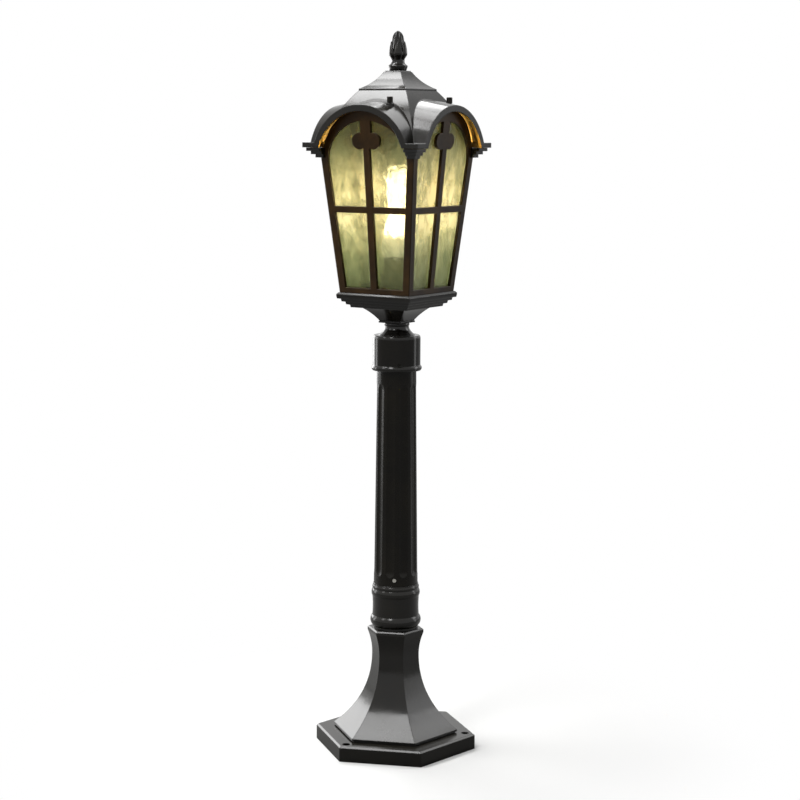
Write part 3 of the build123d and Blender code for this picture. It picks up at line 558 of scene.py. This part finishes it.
# Painted light: the straw tone runs by height, pale and bright at the bulb's height and darker olive
# towards the top and the foot of the pane, for the bulb's glow in the glass.
straw_and_painted_glow = add(
    water_glass,
    "ShaderNodeValToRGB",
    links={"Fac": (glass_height, 0)},
    stops=[
        (0.0, "#b3b99c"),
        (0.22, "#cbcdae"),
        (0.42, "#fdf8dc"),
        (0.64, "#f8f1d0"),
        (0.92, "#a8aa89"),
    ],
)
mottle = add(
    water_glass, "ShaderNodeMath", links={0: (streak, "Fac"), 1: (ripple, "Fac")}, operation="ADD"
)
olive_share = add(
    water_glass,
    "ShaderNodeMapRange",
    {"From Min": 0.85, "From Max": 1.25, "To Max": 0.8},
    {"Value": (mottle, 0)},
)
glass_tone = add(
    water_glass,
    "ShaderNodeMix",
    {7: colour("#979d7e")},
    {0: (olive_share, 0), 6: (straw_and_painted_glow, "Color")},
    data_type="RGBA",
)
glass_wave = add(
    water_glass,
    "ShaderNodeBump",
    {"Strength": 0.45, "Distance": ripple_bump},
    {"Height": (ripple, "Fac")},
)
clear = add(
    water_glass,
    "ShaderNodeBsdfPrincipled",
    {"Roughness": 0.2, "IOR": 1.45, "Transmission Weight": 1.0},
    {"Base Color": (glass_tone, 2), "Normal": (glass_wave, 0)},
)
glow = add(
    water_glass,
    "ShaderNodeBsdfTranslucent",
    links={"Color": (glass_tone, 2), "Normal": (glass_wave, 0)},
)
cloudy = add(water_glass, "ShaderNodeMixShader", {0: glow_share}, {1: (clear, 0), 2: (glow, 0)})
open_way = add(water_glass, "ShaderNodeBsdfTransparent", links={"Color": (glass_tone, 2)})
glass_path = add(water_glass, "ShaderNodeLightPath")
glass_skin = add(
    water_glass,
    "ShaderNodeMixShader",
    links={0: (glass_path, "Is Shadow Ray"), 1: (cloudy, 0), 2: (open_way, 0)},
)
show(water_glass, glass_skin)
pane_grid = 1.5 * mm
relief = bpy.data.textures.new("rolled_ripple", "CLOUDS")
relief.noise_scale = ripple_mm * mm
relief.noise_depth = 1
for side in sides:
    dress(water_glass, "glass_pane_" + side)
    pane = nodes["glass_pane_" + side]
    evened = pane.modifiers.new("even_mesh", "REMESH")
    evened.mode = "VOXEL"
    evened.voxel_size = pane_grid
    evened.use_smooth_shade = True
    rolled = pane.modifiers.new("rolled_ripple", "DISPLACE")
    rolled.texture = relief
    rolled.texture_coords = "LOCAL"
    rolled.strength = ripple_depth
    rolled.mid_level = 0.5

# Corner brackets, roof and crown: castings with the same paint. The roof stands loose on
# the brackets and is held by four thumbscrews of blackened steel. Inside, where its faces
# look in to the bulb, a gold metal finish is a painted reflection: it stands in for the golden
# glints of the bulb's light on the black paint, and throws that light out along the arches.
painted_glint_start = -10 * mm
painted_glint_full = -40 * mm
dress(casting_black, "corner_brackets", "roof_crown")
roof_black = new_material("gloss_black_paint_on_roof")
roof_skin = sprayed_skin(roof_black, dust_share=0.06, **gloss_coat)
roof_place = add(roof_black, "ShaderNodeTexCoord")
roof_look = add(
    roof_black,
    "ShaderNodeVectorMath",
    links={0: (roof_place, "Normal"), 1: (roof_place, "Object")},
    operation="DOT_PRODUCT",
)
painted_glint_mask = add(
    roof_black,
    "ShaderNodeMapRange",
    {"From Min": painted_glint_start, "From Max": painted_glint_full},
    {"Value": (roof_look, "Value")},
)
# Painted reflection: this gold metal colour on the inward faces makes the golden glints of the bulb
# inside the hoods.
painted_glint_gold = add(
    roof_black,
    "ShaderNodeBsdfPrincipled",
    {"Base Color": colour("#cfa257"), "Metallic": 1.0, "Roughness": 0.35},
)
roof_coat = add(
    roof_black,
    "ShaderNodeMixShader",
    links={0: (painted_glint_mask, 0), 1: (roof_skin, 0), 2: (painted_glint_gold, 0)},
)
show(roof_black, roof_coat)
dress(roof_black, "roof_shell")
for side in sides:
    dress(blackened, "roof_screw_" + side)

# Finial: a cast bud on a flared foot, drawn down on the crown by a zinc plated stud. Two rings
# of pointed, rounded leaves close round the bud's core, and the lower ring stands off it.
# The profiles are radii and heights in millimetres.
bud_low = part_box("finial")[0].z
core_profile = [
    (0.0, 0.0),
    (12.7, 0.0),
    (13.3, 2.0),
    (14.0, 4.4),
    (14.9, 6.8),
    (14.4, 7.8),
    (12.2, 9.4),
    (10.6, 11.0),
    (10.0, 13.0),
    (10.0, 16.0),
    (9.6, 20.0),
    (9.0, 30.0),
    (7.8, 38.0),
    (6.8, 45.0),
    (5.4, 50.5),
    (3.4, 55.0),
    (1.2, 58.0),
    (0.0, 58.6),
]
lower_leaf = [
    (10.2, 16.0),
    (12.4, 20.0),
    (14.6, 23.2),
    (14.9, 25.6),
    (14.3, 32.0),
    (13.2, 38.0),
    (12.0, 43.5),
]
upper_leaf = [
    (11.0, 26.0),
    (10.2, 38.0),
    (9.2, 45.0),
    (8.1, 51.0),
    (6.4, 54.6),
    (4.4, 57.0),
    (0.4, 59.4),
]


def radius_at(profile, height):
    """The radius of a profile at a height, both in millimetres."""
    for (r_low, z_low), (r_high, z_high) in zip(profile, profile[1:]):
        if z_low <= height <= z_high and z_high > z_low:
            return r_low + (r_high - r_low) * (height - z_low) / (z_high - z_low)
    return profile[-1][0]


# From its foot a leaf spreads to its full width, a quarter of the way up, and then tapers to
# a point. Its cross-section is rounded by the curl.
leaf_count = 6
leaf_cells = 24
leaf_thickness = 1.4
leaf_taper = 2.4
leaf_foot_share = 0.6
leaf_widest = 0.25
tightest_turn = 2.5
core_steps = 36
same_place = 0.001 * mm
# Each ring's first leaf in degrees, then its profile, half a leaf's width and its curl in mm.
leaf_rings = (
    (33.5, upper_leaf, 5.6, 2.6),
    (3.5, lower_leaf, 7.7, 1.8),
)
bud = bmesh.new()
for first_turn, profile, half_width, leaf_curl in leaf_rings:
    leaf_foot = profile[0][1]
    leaf_tip = profile[-1][1]
    for number in range(leaf_count):
        leaf = bmesh.ops.create_grid(bud, x_segments=leaf_cells, y_segments=leaf_cells, size=1)
        around = math.radians(first_turn + 360 / leaf_count * number)
        for vert in leaf["verts"]:
            across = vert.co.x
            along = (vert.co.y + 1) / 2
            height = leaf_foot + (leaf_tip - leaf_foot) * along
            close = 1 - along**leaf_taper
            spread = leaf_foot_share + (1 - leaf_foot_share) * min(1, along / leaf_widest)
            out = radius_at(profile, height) - leaf_curl * across**2 * close
            side_turn = around + across * half_width * close * spread / max(out, tightest_turn)
            vert.co = (
                out * mm * math.cos(side_turn),
                out * mm * math.sin(side_turn),
                bud_low + height * mm,
            )
bmesh.ops.remove_doubles(bud, verts=bud.verts, dist=same_place)
bmesh.ops.solidify(bud, geom=bud.faces[:], thickness=leaf_thickness * mm)
outline = [bud.verts.new((radius * mm, 0, bud_low + z * mm)) for radius, z in core_profile]
outline_edges = [bud.edges.new(pair) for pair in zip(outline, outline[1:])]
bmesh.ops.spin(
    bud,
    geom=outline + outline_edges,
    axis=(0, 0, 1),
    cent=(0, 0, 0),
    angle=math.tau,
    steps=core_steps,
    use_merge=True,
)
bmesh.ops.remove_doubles(bud, verts=bud.verts, dist=same_place)
bmesh.ops.recalc_face_normals(bud, faces=bud.faces)
for face in bud.faces:
    face.smooth = True
bud_black = sprayed_black(
    "gloss_black_paint_on_finial", dust_share=0.03, edge_radius=0.3 * mm, **gloss_coat
)
bud_mesh = bpy.data.meshes.new("finial_bud")
bud.to_mesh(bud_mesh)
bud.free()
bud_mesh.materials.append(bud_black)
finial_bud = bpy.data.objects.new("finial_bud", bud_mesh)
scene.collection.objects.link(finial_bud)
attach(finial_bud, "roof")
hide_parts("finial")
dress(zinc, "finial_stud", "finial_nut")
